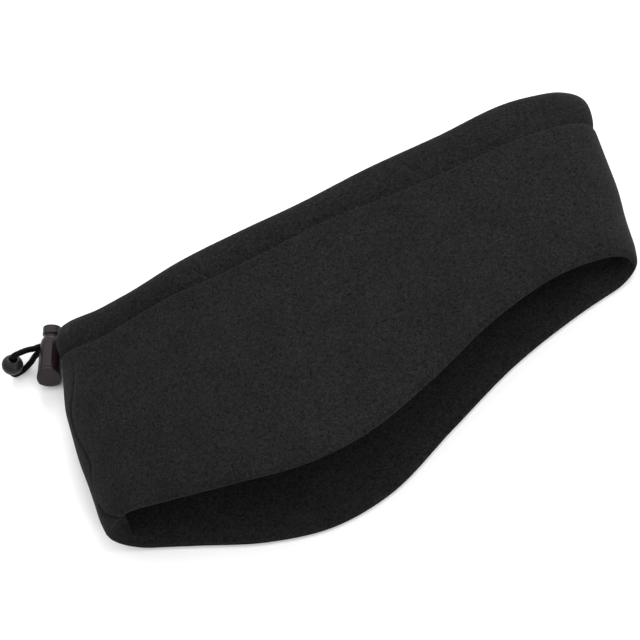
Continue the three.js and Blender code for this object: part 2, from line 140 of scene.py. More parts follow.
def read(table, key, column, place):
    """A named column of a table at places between its rows, on one smooth curve."""
    keys = np.array([row[key] for row in table])
    values = np.array([row[column] for row in table])
    gap = np.diff(keys)
    rise = np.diff(values) / gap
    slope = np.empty(len(values))
    slope[0], slope[-1] = rise[0], rise[-1]
    slope[1:-1] = (rise[:-1] * gap[1:] + rise[1:] * gap[:-1]) / (gap[:-1] + gap[1:])
    at = np.clip(place, keys[0], keys[-1])
    i = np.clip(np.searchsorted(keys, at) - 1, 0, len(keys) - 2)
    s = (at - keys[i]) / gap[i]
    low = (2 * s**3 - 3 * s**2 + 1) * values[i] + (s**3 - 2 * s**2 + s) * gap[i] * slope[i]
    return low + (3 * s**2 - 2 * s**3) * values[i + 1] + (s**3 - s**2) * gap[i] * slope[i + 1]


def ring_place(station, down):
    """Where station 0 to 4 lies on the ring: lower side, forehead fold, upper side, nape fold."""
    nape = read(FOLDS, "down", "nape", down) * BAND_LENGTH
    forehead = read(FOLDS, "down", "forehead", down) * BAND_LENGTH
    part = np.minimum(np.floor(station), 3)
    share = station - part
    low = nape + NAPE_FOLD
    high = forehead - FOREHEAD_FOLD
    angle = np.pi * (share - 0.5)
    x = np.select(
        [part == 0, part == 1, part == 2],
        [low + (high - low) * share, high + FOREHEAD_FOLD * np.cos(angle), high + (low - high) * share],
        low - NAPE_FOLD * np.cos(angle),
    )
    height = np.select([part == 0, part == 1, part == 2], [0 * share, 1 + np.sin(angle), 2 + 0 * share],
                       1 - np.sin(angle))
    return x, height, (x - nape) / (forehead - nape)


def middle(station, down):
    """The middle of the wall, with down as a share from the top edge to the mouth."""
    x, height, along = ring_place(station, down)
    share = TOP_ARCH + (1 - TOP_ARCH) * down
    rise = read(SIDE, "along", "arch", along) * ARCH * share * height / 2
    top = read(SIDE, "along", "top", along) * EAR_DEPTH
    depth = read(SIDE, "along", "depth", along) * EAR_DEPTH
    return np.stack([x, top - down * depth + LEAN * rise, rise + WALL / 2], axis=-1)


def depth_at(station):
    """Top edge to mouth."""
    along = ring_place(station, 0.5 + 0 * station)[2]
    return read(SIDE, "along", "depth", along) * EAR_DEPTH


def seam_at(station):
    """Top edge to the casing's seam."""
    return read(CASING_SEAM, "along", "seam", ring_place(station, 0.1 + 0 * station)[2]) * CASING_WIDTH


def unit(v):
    return v / np.linalg.norm(v, axis=-1, keepdims=True)


def directions(station, down, step=0.002):
    """Along the ring, out of the wall and across it."""
    along = unit(middle((station + step) % 4, down) - middle((station - step) % 4, down))
    across = middle(station, np.minimum(down + step, 1)) - middle(station, np.maximum(down - step, 0))
    out = unit(np.cross(along, across))
    return along, out, np.cross(out, along)


def in_wall(station, down_length, half, outwards):
    """A place in the wall: down from the top edge, out from the middle of the wall."""
    station, down_length, half, outwards = np.broadcast_arrays(
        *[np.asarray(v, float) for v in (station, down_length, half, outwards)])
    down = down_length / depth_at(station)
    point = middle(station, down)
    fade = np.maximum(0, 1 - (point[..., 2] - WALL / 2) / LIFT_REACH)
    raised = np.maximum(0, half - WALL / 2) * fade
    point = point + directions(station, down)[1] * outwards[..., None]
    point[..., 2] = np.maximum(0, point[..., 2] + raised)
    return point


def wall_half(down_length, depth, seam):
    """Half the thickness of the wall: over the casing, along the wall, and at the mouth's edge."""
    past_crown = (down_length - CASING_CROWN) * (CASING_WIDTH - CASING_CROWN) / (seam - CASING_CROWN)
    casing = read(CASING, "down", "half", (CASING_CROWN + past_crown) / CASING_WIDTH) * CASING_HALF
    crown = CASING_HALF * np.sqrt(np.maximum(0, 1 - ((CASING_CROWN - down_length) / CASING_CROWN) ** 2))
    casing = np.where(down_length < CASING_CROWN, crown, casing)
    land = smooth_step(down_length, seam, seam + SEAM_LAND)
    half = np.where(down_length < seam, casing, CASING_HALF / 2 + (WALL / 2 - CASING_HALF / 2) * land)
    edge = depth - down_length
    half = half - RIM_TAPER * np.clip(1 - edge / TAPER_REACH, 0, 1) ** 1.3
    turned_in = np.clip((RIM_ROUND - edge) / RIM_ROUND, 0, 1) ** RIM_POWER
    return half * (1 - turned_in) ** (1 / RIM_POWER)


def noise_at(points, size, seed):
    """Smooth noise from -1 to 1 at points in millimetres, with features of that size."""
    flat = points.reshape(-1, 3) / size + seed
    return np.array([noise.noise(p) for p in flat]).reshape(points.shape[:-1])


def smooth_step(x, low, high):
    s = np.clip((x - low) / (high - low), 0, 1)
    return s * s * (3 - 2 * s)


def object_from(name, points, faces, scale=0.001, shift=PATTERN_SHIFT):
    """A smooth-shaded mesh with its faces outwards, from points in millimetres of the pattern."""
    mesh = bpy.data.meshes.new(name)
    mesh.from_pydata((np.asarray(points).reshape(-1, 3) + shift) * scale, [], faces)
    mesh.update()
    mesh.shade_smooth()
    measure = bmesh.new()
    measure.from_mesh(mesh)
    if measure.calc_volume(signed=True) < 0:
        mesh.flip_normals()
    measure.free()
    piece = bpy.data.objects.new(name, mesh)
    bpy.context.scene.collection.objects.link(piece)
    return piece


def ring_faces(sections, size, closed):
    """Quads between neighbouring sections of the same size, with end faces unless they close."""
    spans = sections if closed else sections - 1
    faces = []
    for i in range(spans):
        a, b = i * size, (i + 1) % sections * size
        faces += [(a + j, a + (j + 1) % size, b + (j + 1) % size, b + j) for j in range(size)]
    if not closed:
        end = (sections - 1) * size
        faces += [tuple(range(size))[::-1], tuple(range(end, end + size))]
    return faces


GATHER_LENGTH = 8.5  # between the gathers that the cord draws in the casing
GATHER_HEIGHT = 0.45
GATHER_FADE = 7  # how far the gathers reach past the casing's seam
WAVE_LENGTH = 42.0  # the slow waves of the cloth as it lies
WAVE_HEIGHT = 0.5
RIPPLE_LENGTH = 13.0
RIPPLE_HEIGHT = 0.2
PUCKER_LENGTH = 5.0  # the puckers inside the forehead fold
PUCKER_HEIGHT = 0.5
SEAM_SINK = 0.4  # how deep the casing's seam pulls in, and how far to each side
SEAM_REACH = 0.85
NAPE_GIRTH = 38  # millimetres for one station round the nape fold
NAPE_SINK = 0.6
NAPE_REACH = 0.55
NAPE_APPEARS = (0.2, 0.38)  # shares of the depth between which the seam begins to show, and to hide
NAPE_HIDES = (0.7, 0.82)
CREASE_SINK = 1.0
CREASE_REACH = 0.75
MOUTH_STITCH = 1.9  # mouth edge to its line of stitches
MOUTH_SINK = 0.05
MOUTH_REACH = 0.6
LIP_SLOPE = 0.75  # how much more the inner face rounds off towards the mouth
LIP_REACH = 7
BLUNT = 5.2  # how far the folded seam allowances fill the nape's end of the mouth
BLUNT_EASE = 0.9
CORNER_BEGINS = (2.8, 3.15)  # stations between which the corner over the lock begins, and ends
CORNER_ENDS = (3.3, 3.6)


def relief(station, down_length, depth, seam, face, point):
    """How far the surface stands above the plain wall: gathers, seams and the cloth's own waves."""
    casing_line = middle(station, seam / depth)
    gather = noise_at(casing_line, GATHER_LENGTH, face * 31.0)
    gather = gather + 0.5 * noise_at(casing_line, GATHER_LENGTH / 2.2, face * 17.0)
    hold = np.where(down_length < seam, 1, np.exp(-(down_length - seam) / GATHER_FADE))
    edge = depth - down_length
    waves = WAVE_HEIGHT * noise_at(point, WAVE_LENGTH, 3.0)
    waves = waves + RIPPLE_HEIGHT * noise_at(point, RIPPLE_LENGTH, 9.0)
    inside_edges = smooth_step(edge, 0, 3) * smooth_step(down_length, 0, 4)
    height = (GATHER_HEIGHT * gather * hold + waves) * inside_edges
    height = height - SEAM_SINK * np.exp(-(((down_length - seam) / SEAM_REACH) ** 2))
    height = height - MOUTH_SINK * np.exp(-(((edge - MOUTH_STITCH) / MOUTH_REACH) ** 2))
    down = down_length / depth
    off_seam = (station - read(NAPE_SEAM, "down", "station", down)) * NAPE_GIRTH
    shown = smooth_step(down, *NAPE_APPEARS) * (1 - smooth_step(down, *NAPE_HIDES))
    height = height - NAPE_SINK * shown * np.exp(-((off_seam / NAPE_REACH) ** 2))
    if face > 0:
        off_crease = (station - read(MOUTH_CREASE, "edge", "station", edge)) * NAPE_GIRTH
        fade = 1 - smooth_step(edge, 8, 15)
        height = height - CREASE_SINK * fade * np.exp(-((off_crease / CREASE_REACH) ** 2))
    else:
        height = height - LIP_SLOPE * np.clip(1 - edge / LIP_REACH, 0, 1) ** 2
        in_fold = smooth_step(station, 1.1, 1.4) * (1 - smooth_step(station, 1.8, 2.1))
        puckers = PUCKER_HEIGHT * in_fold * (1 - smooth_step(edge, 18, 40))
        height = height + puckers * noise_at(point, PUCKER_LENGTH, 21.0)
    return height


def surface_place(station, down_length, face, raised=0.0):
    """Places on the outer face (1) or the inner one (-1) of the wall, or raised above it."""
    station, down_length = np.broadcast_arrays(
        np.asarray(station, float), np.asarray(down_length, float))
    depth, seam = depth_at(station), seam_at(station)
    half = wall_half(down_length, depth, seam)
    centre = in_wall(station, down_length, half, 0)
    height = half + relief(station, down_length, depth, seam, face, centre)
    point = in_wall(station, down_length, half, face * (np.maximum(height, 0) + raised))
    over_lock = smooth_step(station, *CORNER_BEGINS) * (1 - smooth_step(station, *CORNER_ENDS))
    point[..., 0] -= over_lock * read(CORNER, "from_top", "bulge", down_length)
    if face < 0:
        edge = depth - down_length
        fill = BLUNT * smooth_step(edge, 0, 3) * (1 - smooth_step(edge, 9, 26)) * (station > 3)
        wall_x = read(FOLDS, "down", "nape", down_length / depth) * BAND_LENGTH + WALL / 2
        beyond = point[..., 0] - wall_x - fill
        blunted = wall_x + fill + np.logaddexp(0, beyond / BLUNT_EASE) * BLUNT_EASE
        point[..., 0] = np.where(fill > 0, blunted, point[..., 0])
    return point


# The sections of the band's mesh round the ring, closer together at the nape's seam and crease.
SPANS = [
    {"start": 0, "length": 1, "sections": 190},
    {"start": 1, "length": 1, "sections": 26},
    {"start": 2, "length": 1, "sections": 190},
    {"start": 3, "length": 0.1, "sections": 5},
    {"start": 3.1, "length": 0.28, "sections": 34},
    {"start": 3.38, "length": 0.62, "sections": 22},
]
ring_stations = np.concatenate([
    span["start"] + span["length"] * np.arange(span["sections"]) / span["sections"] for span in SPANS])
ring_depths = depth_at(ring_stations)
ring_seams = seam_at(ring_stations)
# And its rows from the top edge to the mouth, closer together at the seam and the rim.
crown_rows = CASING_CROWN * (1 - np.cos(np.linspace(0, np.pi / 2, 10)))
casing_rows = np.linspace(0, 1, 13)[1:]
land_rows = np.array([0.3, 0.6, 0.9, 1.3, 1.8, 2.4, 3.2])
mouth_rows = np.array([7, 6, 5.2, 4.4, 3.7, 3.1, 2.7, 2.3, 1.9])
rim_rows = RIM_ROUND * (1 - np.cos(np.linspace(np.pi / 2, 0, 9)))
FIELD_ROWS = 44
rows = [np.full(len(ring_stations), r) for r in crown_rows]
rows += [CASING_CROWN + (ring_seams - CASING_CROWN) * share for share in casing_rows]
rows += [ring_seams + r for r in land_rows]
first, last = rows[-1], ring_depths - mouth_rows[0]
rows += [first + (last - first) * share for share in np.linspace(0, 1, FIELD_ROWS + 1)[1:-1]]
rows += [ring_depths - r for r in np.concatenate([mouth_rows, rim_rows])]
down_rows = np.array(rows)

outer = surface_place(ring_stations[None, :], down_rows, 1)
inner = surface_place(ring_stations[None, :], down_rows, -1)[1:-1][::-1]
section_points = np.concatenate([outer, inner]).transpose(1, 0, 2)
band = object_from("headband", section_points, ring_faces(*section_points.shape[:2], True))

# The channel for the cord, and the buttonhole in the outer layer at the nape that the cord leaves by.
CORD_DIAMETER = 2.6
CORD_DEPTH = 6.3
CLEARANCE = 0.3
STRAND_PITCH = CORD_DIAMETER + CLEARANCE
HOLE_LOW, HOLE_HIGH = 3.6, 12.8
HOLE_REACH = 3
HOLE_POWER = 0.65  # 1 is an oval hole, less is squarer
HOLE_WIDTH = STRAND_PITCH + CORD_DIAMETER + 3 * CLEARANCE
CHANNEL_SIDES = 16
CHANNEL_SECTIONS = 60
CHANNEL_START, CHANNEL_END = 3.02, 3.98  # stations round the nape fold
CHANNEL_RADIUS = CORD_DIAMETER / 2 + 1.15 * CLEARANCE
cord_half = float(read(CASING, "down", "half", CORD_DEPTH / CASING_WIDTH)) * CASING_HALF
fold_middle = in_wall(3.5, CORD_DEPTH, WALL / 2, 0)
fold_face = in_wall(3.5, CORD_DEPTH, WALL / 2, CASING_HALF)
hole_middle = (HOLE_LOW + HOLE_HIGH) / 2


def cord_place(station):
    return in_wall(station, CORD_DEPTH, cord_half, 0)


def round_section(station, radius):
    """A round section of the cord's channel."""
    station = np.array(station)
    _, out, across = directions(station, CORD_DEPTH / depth_at(station))
    turn = 2 * np.pi * np.arange(CHANNEL_SIDES)[:, None] / CHANNEL_SIDES
    return cord_place(station) + radius * (np.cos(turn) * across - np.sin(turn) * out)


def hole_edge(turn, grow):
    """The buttonhole's edge, as how far above its middle and how far towards the top edge."""
    c, s = np.cos(turn), np.sin(turn)
    high = ((HOLE_HIGH - HOLE_LOW) / 2 + grow) * np.sign(c) * np.abs(c) ** HOLE_POWER
    return high, (HOLE_WIDTH / 2 + grow) * np.sign(s) * np.abs(s) ** HOLE_POWER


def apply_modifiers(piece):
    graph = bpy.context.evaluated_depsgraph_get()
    mesh = bpy.data.meshes.new_from_object(piece.evaluated_get(graph))
    piece.modifiers.clear()
    piece.data = mesh


def carve(piece, tools):
    """Cuts tools out of a piece or joins them to it, and removes them."""
    for operation, tool in tools:
        modifier = piece.modifiers.new(operation, "BOOLEAN")
        modifier.operation = operation
        modifier.solver = "MANIFOLD"
        modifier.object = tool
    apply_modifiers(piece)
    for _, tool in tools:
        bpy.data.objects.remove(tool)


channel_points = [round_section(station, CHANNEL_RADIUS)
                  for station in np.linspace(CHANNEL_START, CHANNEL_END, CHANNEL_SECTIONS)]
channel = object_from("channel", channel_points, ring_faces(CHANNEL_SECTIONS, CHANNEL_SIDES, False))
HOLE_SIDES = 40
hole_points = [(x, fold_middle[1] + side, hole_middle + high)
               for x in (fold_face[0] - CASING_HALF, fold_middle[0] + HOLE_REACH)
               for high, side in zip(*hole_edge(2 * np.pi * np.arange(HOLE_SIDES) / HOLE_SIDES, 0))]
hole = object_from("hole", hole_points, ring_faces(2, HOLE_SIDES, False))
carve(band, [("DIFFERENCE", channel), ("DIFFERENCE", hole)])
band.data.set_sharp_from_angle(angle=math.radians(50))


def linear(code):
    """An sRGB hex colour as linear light, with alpha."""
    parts = [int(code[i:i + 2], 16) / 255 for i in (1, 3, 5)]
    return [p / 12.92 if p <= 0.04045 else ((p + 0.055) / 1.055) ** 2.4 for p in parts] + [1.0]


def add_node(material, kind, settings, links=None):
    """Adds a node, sets its properties and sockets by name or number, and links its inputs."""
    node = material.node_tree.nodes.new(kind)
    for name, value in settings.items():
        if isinstance(name, int) or name in node.inputs:
            node.inputs[name].default_value = value
        else:
            setattr(node, name, value)
    for name, source in (links or {}).items():
        material.node_tree.links.new(source, node.inputs[name])
    return node


def new_material(name):
    material = bpy.data.materials.new(name)
    material.use_nodes = True
    material.node_tree.nodes.clear()
    return material


# Brushed stretch fleece, black: a matte knit with a short raised nap. To the eye it is a soft dark
# cloth with no gloss, whose nap clumps into small grey and darker flecks, with slow changes of tone.
# The flecks are partly the nap's own tone and partly painted shade in its pits and painted light on
# its tips, following the same noise as the bump.
fleece = new_material("brushed_black_fleece")
NAP_CLUMP = 1.0  # millimetres: one clump of nap, one fibre, and one patch of even tone
NAP_FIBRE = 0.3
NAP_PATCH = 14
place = add_node(fleece, "ShaderNodeTexCoord", {}).outputs["Object"]
clumps = add_node(fleece, "ShaderNodeTexNoise", {
    "Scale": 1000 / NAP_CLUMP, "Detail": 4.0, "Roughness": 0.6, "Distortion": 1.4}, {"Vector": place})
fibres = add_node(fleece, "ShaderNodeTexNoise", {"Scale": 1000 / NAP_FIBRE, "Detail": 2.0},
                  {"Vector": place})
patches = add_node(fleece, "ShaderNodeTexNoise", {"Scale": 1000 / NAP_PATCH, "Detail": 3.0},
                   {"Vector": place})
# Painted shade in the nap's pits and painted light on its tips, mixed with the nap's own flecks of tone.
fleck_and_pit_shade = add_node(fleece, "ShaderNodeMapRange", {"From Min": 0.34, "From Max": 0.68},
                 {"Value": clumps.outputs["Fac"]})
tone = add_node(fleece, "ShaderNodeMixRGB", {"Color1": linear("#030303"), "Color2": linear("#232323")},
                {"Fac": fleck_and_pit_shade.outputs["Result"]})
slow = add_node(fleece, "ShaderNodeMapRange", {
    "From Min": 0.3, "From Max": 0.7, "To Min": 0.88, "To Max": 1.12}, {"Value": patches.outputs["Fac"]})
tone = add_node(fleece, "ShaderNodeVectorMath", {"operation": "SCALE"},
                {0: tone.outputs["Color"], "Scale": slow.outputs["Result"]})
nap = add_node(fleece, "ShaderNodeMath", {"operation": "MULTIPLY_ADD", 1: 0.5},
               {0: fibres.outputs["Fac"], 2: clumps.outputs["Fac"]})
bump = add_node(fleece, "ShaderNodeBump", {"Strength": 0.6, "Distance": 0.0004},
                {"Height": nap.outputs["Value"]})
cloth = add_node(fleece, "ShaderNodeBsdfPrincipled", {
    "Roughness": 0.95, "Specular IOR Level": 0.12, "Sheen Weight": 0.4, "Sheen Roughness": 0.35,
    "Sheen Tint": linear("#585858"),
}, {"Base Color": tone.outputs["Vector"], "Normal": bump.outputs["Normal"]})
add_node(fleece, "ShaderNodeOutputMaterial", {}, {"Surface": cloth.outputs["BSDF"]})
band.data.materials.clear()
band.data.materials.append(fleece)
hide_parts("fleece_band")
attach(band, "band")

# ---- The stitching
# Lockstitch in black spun polyester: the topstitch that makes the casing, a finer line beside the
# mouth's edge, and the satin stitches round the buttonhole. Each stitch lies sunk in the nap.
THREAD_SIDES = 6
THREAD_TIP = 0.4  # how narrow a stitch is where it dives into the cloth
CASING_THREAD = 0.42
MOUTH_THREAD = 0.3
BUTTONHOLE_THREAD = 0.36
# Stitches in millimetres: from one to the next, how long, how deep their ends sink in the nap, and
# how high they bow.
CASING_STITCHES = {"pitch": 3.2, "length": 2.5, "sink": 0.2, "bow": 0.3}
MOUTH_STITCHES = {"pitch": 2.7, "length": 1.9, "sink": 0.14, "bow": 0.17}


def threads(name, lines, thickness):
    """Short tubes with narrow ends along rows of points, as one object."""
    lines = np.asarray(lines)
    count, length = lines.shape[:2]
    ways = unit(np.gradient(lines, axis=1))
    side = unit(np.cross(ways, [0.31, 0.22, 0.93]))
    up = np.cross(ways, side)
    turn = 2 * np.pi * np.arange(THREAD_SIDES)[:, None] / THREAD_SIDES
    radius = np.full(length, thickness / 2)
    radius[[0, -1]] *= THREAD_TIP
    tube = lines[:, :, None] + radius[None, :, None, None] * (
        np.cos(turn) * side[:, :, None] + np.sin(turn) * up[:, :, None])
    tube[..., 2] = np.maximum(tube[..., 2], 0)
    one = ring_faces(length, THREAD_SIDES, False)
    size = length * THREAD_SIDES
    faces = [tuple(j + k * size for j in face) for k in range(count) for face in one]
    return object_from(name, tube, faces)


even = np.linspace(0, 4, 2001)
half_way = middle(even % 4, 0.5 + 0 * even)
girth = np.concatenate([[0], np.cumsum(np.linalg.norm(np.diff(half_way, axis=0), axis=1))])


def stitches_round(from_top, pitch, length, sink, bow):
    """Rows of points for stitches of one length, all the way round on both faces."""
    count = int(girth[-1] / pitch)
    t = np.linspace(0, 1, 6)
    at = (np.arange(count)[:, None] + 0.5) * girth[-1] / count + (t[None, :] - 0.5) * length
    station = np.interp(at, girth, even) % 4
    lift = np.broadcast_to(bow * np.sin(np.pi * t) - sink, station.shape)
    return np.concatenate([surface_place(station, from_top(station), face, lift) for face in (1, -1)])


def mouth_line(station):
    return depth_at(station) - MOUTH_STITCH


casing_topstitch = threads("casing_topstitch", stitches_round(seam_at, **CASING_STITCHES), CASING_THREAD)
mouth_stitch = threads("mouth_stitch", stitches_round(mouth_line, **MOUTH_STITCHES), MOUTH_THREAD)

# The buttonhole's stitches: a ring of short ones over its edge, laid on the fold.
fold_stations = np.linspace(3.85, 3.12, 147)
fold_places = in_wall(fold_stations, CORD_DEPTH, cord_half, CASING_HALF)
BUTTONHOLE_STITCHES = 64
STITCH_OUT = np.array([[0.0, 0.3, 0.75, 1.2, 1.45]])  # out from the hole's edge, and up from the nap
STITCH_LIFT = np.array([[-0.25, 0.1, 0.17, 0.1, -0.2]])
stitch_turn = 2 * np.pi * (np.arange(BUTTONHOLE_STITCHES)[:, None] + 0.5) / BUTTONHOLE_STITCHES
high, towards_top = hole_edge(stitch_turn, STITCH_OUT)
hole_station = np.interp(hole_middle + high, fold_places[:, 2], fold_stations)
level = np.interp(hole_middle + high, fold_places[:, 2], fold_places[:, 1])
hole_down = CORD_DEPTH - (fold_middle[1] + towards_top - level)
hole_lines = surface_place(hole_station, hole_down, 1, STITCH_LIFT)
buttonhole_stitch = threads("buttonhole_stitch", hole_lines, BUTTONHOLE_THREAD)

# Spun polyester sewing thread, black: about as dark as the nap, so a row of stitches shows mostly
# as a fine broken line in its hollow, with the twist as slanted light and dark lines: painted shade
# in the twist's grooves and painted light on its ridges, along with the bump.
spun_thread = new_material("spun_black_polyester_thread")
THREAD_TWIST = 0.25
place = add_node(spun_thread, "ShaderNodeTexCoord", {}).outputs["Object"]
twist = add_node(spun_thread, "ShaderNodeTexWave", {
    "Scale": 1000 / THREAD_TWIST / 20, "Distortion": 3.0}, {"Vector": place})
# Painted shade in the twist's grooves and painted light on its ridges, following the bump's wave.
tone = add_node(spun_thread, "ShaderNodeMixRGB", {
    "Color1": linear("#060607"), "Color2": linear("#111112")}, {"Fac": twist.outputs["Fac"]})
bump = add_node(spun_thread, "ShaderNodeBump", {"Strength": 0.4, "Distance": 0.00006},
                {"Height": twist.outputs["Fac"]})
sewn = add_node(spun_thread, "ShaderNodeBsdfPrincipled", {"Roughness": 0.7, "Specular IOR Level": 0.1},
                {"Base Color": tone.outputs["Color"], "Normal": bump.outputs["Normal"]})
add_node(spun_thread, "ShaderNodeOutputMaterial", {}, {"Surface": sewn.outputs["BSDF"]})
for stitching in (casing_topstitch, mouth_stitch, buttonhole_stitch):
    stitching.data.materials.append(spun_thread)
    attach(stitching, "band")

# ---- The drawcord
# A round braided cord, 2.6 mm thick. It runs in the casing all the way round and leaves by one
# buttonhole at the nape as a loop.
HOLE_ABOVE_FLOOR = 7.2
LOCK_TURN = math.radians(22)
LOCK_ROLL = math.radians(10)
LOCK_OUT = 5.1
LOCK_ALONG = 4.2
LOCK_ABOVE_FLOOR = 5.8
SHAFT_RADIUS = 3.3
BEAD_HALF_LENGTH = 4.3
BEAD_FROM_LOCK = np.array([-17.8, -0.1, 1.6])
BEAD_AXIS = unit(np.array([0.455, 0.196, 0.868]))

# The loop's chosen points, as steps from the buttonhole's face and from the lock's middle.
NEAR_STRAND = [[0.2, 0.2, 3.6], [-1.0, 0.9, 1.3], [-3.0, 2.2, -1.1]]
TO_BEAD = [[-4.1, 3.1, 0.7], [-6.5, 2.6, 2.0], [-8.9, 2.0, 4.3], [-11.0, 1.1, 6.3], [-13.0, 0.5, 7.4],
           [-15.0, 0.6, 7.0]]
FROM_BEAD = [[-19.7, -1.4, -3.2], [-19.1, -1.7, -4.2], [-17.4, -1.7, -4.4], [-14.5, -1.1, -4.35],
             [-12.2, -0.6, -3.6], [-10.0, 0.0, -2.6], [-7.9, 0.5, -0.9], [-5.1, 0.5, 0.7]]
FAR_STRAND = [[-3.4, -0.2, -1.4], [-0.9, -0.8, -1.6]]
hole_corners = [np.array([fold_face[0] - CASING_HALF, fold_middle[1] - HOLE_WIDTH / 2, HOLE_LOW]),
                np.array([fold_middle[0] + HOLE_REACH, fold_middle[1] + HOLE_WIDTH / 2, HOLE_HIGH])]


def channel_mouth(step):
    """Where the channel meets the buttonhole, walking from the middle of the nape fold."""
    low, high = hole_corners
    station = 3.5
    while np.all(cord_place(station) > low) and np.all(cord_place(station) < high):
        station += step
    return station


upper_mouth, lower_mouth = np.array(channel_mouth(-0.005)), np.array(channel_mouth(0.005))
lock_place = np.array([fold_face[0] - LOCK_OUT, fold_middle[1] + LOCK_ALONG, LOCK_ABOVE_FLOOR])
bead_place = lock_place + BEAD_FROM_LOCK
lock_turns = Matrix.Rotation(-LOCK_TURN, 3, "Z") @ Matrix.Rotation(LOCK_ROLL, 3, "Y")


def loop_route():
    """The loop's points, from the upper side of the buttonhole through lock and bead and back."""
    hole_face = np.array([fold_middle[0], fold_middle[1], HOLE_ABOVE_FLOOR])
    start_way = directions(upper_mouth, CORD_DEPTH / depth_at(upper_mouth))[0]
    end_way = directions(lower_mouth, CORD_DEPTH / depth_at(lower_mouth))[0]
    start, end = cord_place(upper_mouth), cord_place(lower_mouth)
    strand = np.array(lock_turns @ Vector((0, STRAND_PITCH / 2, 0)))
    through = np.array(lock_turns @ Vector((SHAFT_RADIUS, 0, 0)))
    points = [start + start_way * CLEARANCE, start + start_way * 3 * CLEARANCE]
    points += [hole_face + step for step in NEAR_STRAND]
    points += [lock_place + strand + through, lock_place + strand]
    points += [lock_place + step for step in TO_BEAD]
    points += [bead_place + BEAD_AXIS * BEAD_HALF_LENGTH * share for share in (1, 0, -1)]
    points += [lock_place + step for step in FROM_BEAD]
    points += [lock_place - strand, lock_place - strand + through]
    points += [hole_face + step for step in FAR_STRAND]
    points += [end - end_way * 3 * CLEARANCE, end - end_way * CLEARANCE]
    return np.array(points)


def smooth_route(points, steps=24):
    """One smooth curve through the points, with speed by the square root of their spacing."""
    ends = np.vstack([2 * points[0] - points[1], points, 2 * points[-1] - points[-2]])
    curve = []
    for p0, p1, p2, p3 in zip(ends, ends[1:], ends[2:], ends[3:]):
        t0, t1, t2 = [np.linalg.norm(b - a) ** 0.5 for a, b in ((p0, p1), (p1, p2), (p2, p3))]
        leave = ((p1 - p0) / t0 - (p2 - p0) / (t0 + t1) + (p2 - p1) / t1) * t1
        arrive = ((p2 - p1) / t1 - (p3 - p1) / (t1 + t2) + (p3 - p2) / t2) * t1
        for s in np.arange(steps) / steps:
            curve.append(p1 + leave * s + (3 * (p2 - p1) - 2 * leave - arrive) * s**2
                         + (2 * (p1 - p2) + leave + arrive) * s**3)
    return np.array(curve + [points[-1]])


def evenly(curve, spacing):
    """The same curve with points a given distance apart."""
    length = np.concatenate([[0], np.cumsum(np.linalg.norm(np.diff(curve, axis=0), axis=1))])
    at = np.linspace(0, length[-1], int(length[-1] / spacing) + 1)
    return np.stack([np.interp(at, length, curve[:, k]) for k in range(3)], axis=1), length[-1]


def carried_frames(curve):
    """A side and an up direction carried along a curve without twist."""
    ways = unit(np.gradient(curve, axis=0))
    side = unit(np.cross(ways[0], [0.0, 0.0, 1.0]))
    sides = []
    for way in ways:
        side = unit(side - way * np.dot(side, way))
        sides.append(side)
    sides = np.array(sides)
    return sides, np.cross(ways, sides)


YARNS = 8  # bundles of yarn that wind each way round the braid
YARN_STEP = 1.05
YARN_ROUND = 0.8
YARN_WEAVE = 0.5
BRAID_DEPTH = 0.13
BRAID_PROUD = 0.05  # how far the tops of the yarns stand over the cord's own radius
BRAID_SIDES = 40
BRAID_STEP = 0.13
loop_curve, loop_length = evenly(smooth_route(loop_route()), BRAID_STEP)
sides, ups = carried_frames(loop_curve)
turn = 2 * np.pi * np.arange(BRAID_SIDES) / BRAID_SIDES
run = np.linspace(0, loop_length, len(loop_curve))[:, None]
left = YARNS * turn[None, :] / (2 * np.pi) + run / (2 * YARN_STEP)
right = YARNS * turn[None, :] / (2 * np.pi) - run / (2 * YARN_STEP)
over = np.where((np.floor(left) + np.floor(right)) % 2 == 0, 1.0, -1.0)
left_yarn = 1 - YARN_ROUND * (2 * (left % 1) - 1) ** 2 + YARN_WEAVE * over * np.abs(np.sin(np.pi * right))
right_yarn = 1 - YARN_ROUND * (2 * (right % 1) - 1) ** 2 - YARN_WEAVE * over * np.abs(np.sin(np.pi * left))
braid = np.maximum(left_yarn, right_yarn)
radius = CORD_DIAMETER / 2 + BRAID_PROUD - BRAID_DEPTH * (1 + YARN_WEAVE - braid)
tube = (loop_curve[:, None, :] + (radius * np.cos(turn))[..., None] * sides[:, None, :]
        + (radius * np.sin(turn))[..., None] * ups[:, None, :])
loop = object_from("drawcord_braid", tube, ring_faces(len(loop_curve), BRAID_SIDES, False))

# Polyester braid over rubber, black: the fine filaments give a dull silky line of light along the
# cord, broken by the crossing of the yarns.
braid_cord = new_material("braided_black_polyester")
FILAMENT = 0.12
place = add_node(braid_cord, "ShaderNodeTexCoord", {}).outputs["Object"]
filaments = add_node(braid_cord, "ShaderNodeTexNoise", {"Scale": 1000 / FILAMENT, "Detail": 2.0},
                     {"Vector": place})
tone = add_node(braid_cord, "ShaderNodeMixRGB", {
    "Color1": linear("#030303"), "Color2": linear("#0a090b")}, {"Fac": filaments.outputs["Fac"]})
bump = add_node(braid_cord, "ShaderNodeBump", {"Strength": 0.35, "Distance": 0.0001},
                {"Height": filaments.outputs["Fac"]})
strand = add_node(braid_cord, "ShaderNodeBsdfPrincipled", {"Roughness": 0.6, "Specular IOR Level": 0.06},
                  {"Base Color": tone.outputs["Color"], "Normal": bump.outputs["Normal"]})
add_node(braid_cord, "ShaderNodeOutputMaterial", {}, {"Surface": strand.outputs["BSDF"]})
loop.data.materials.append(braid_cord)
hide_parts("drawcord_loop")
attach(loop, "band")
cord_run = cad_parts["drawcord_run"]
cord_run.data.materials.clear()
cord_run.data.materials.append(braid_cord)

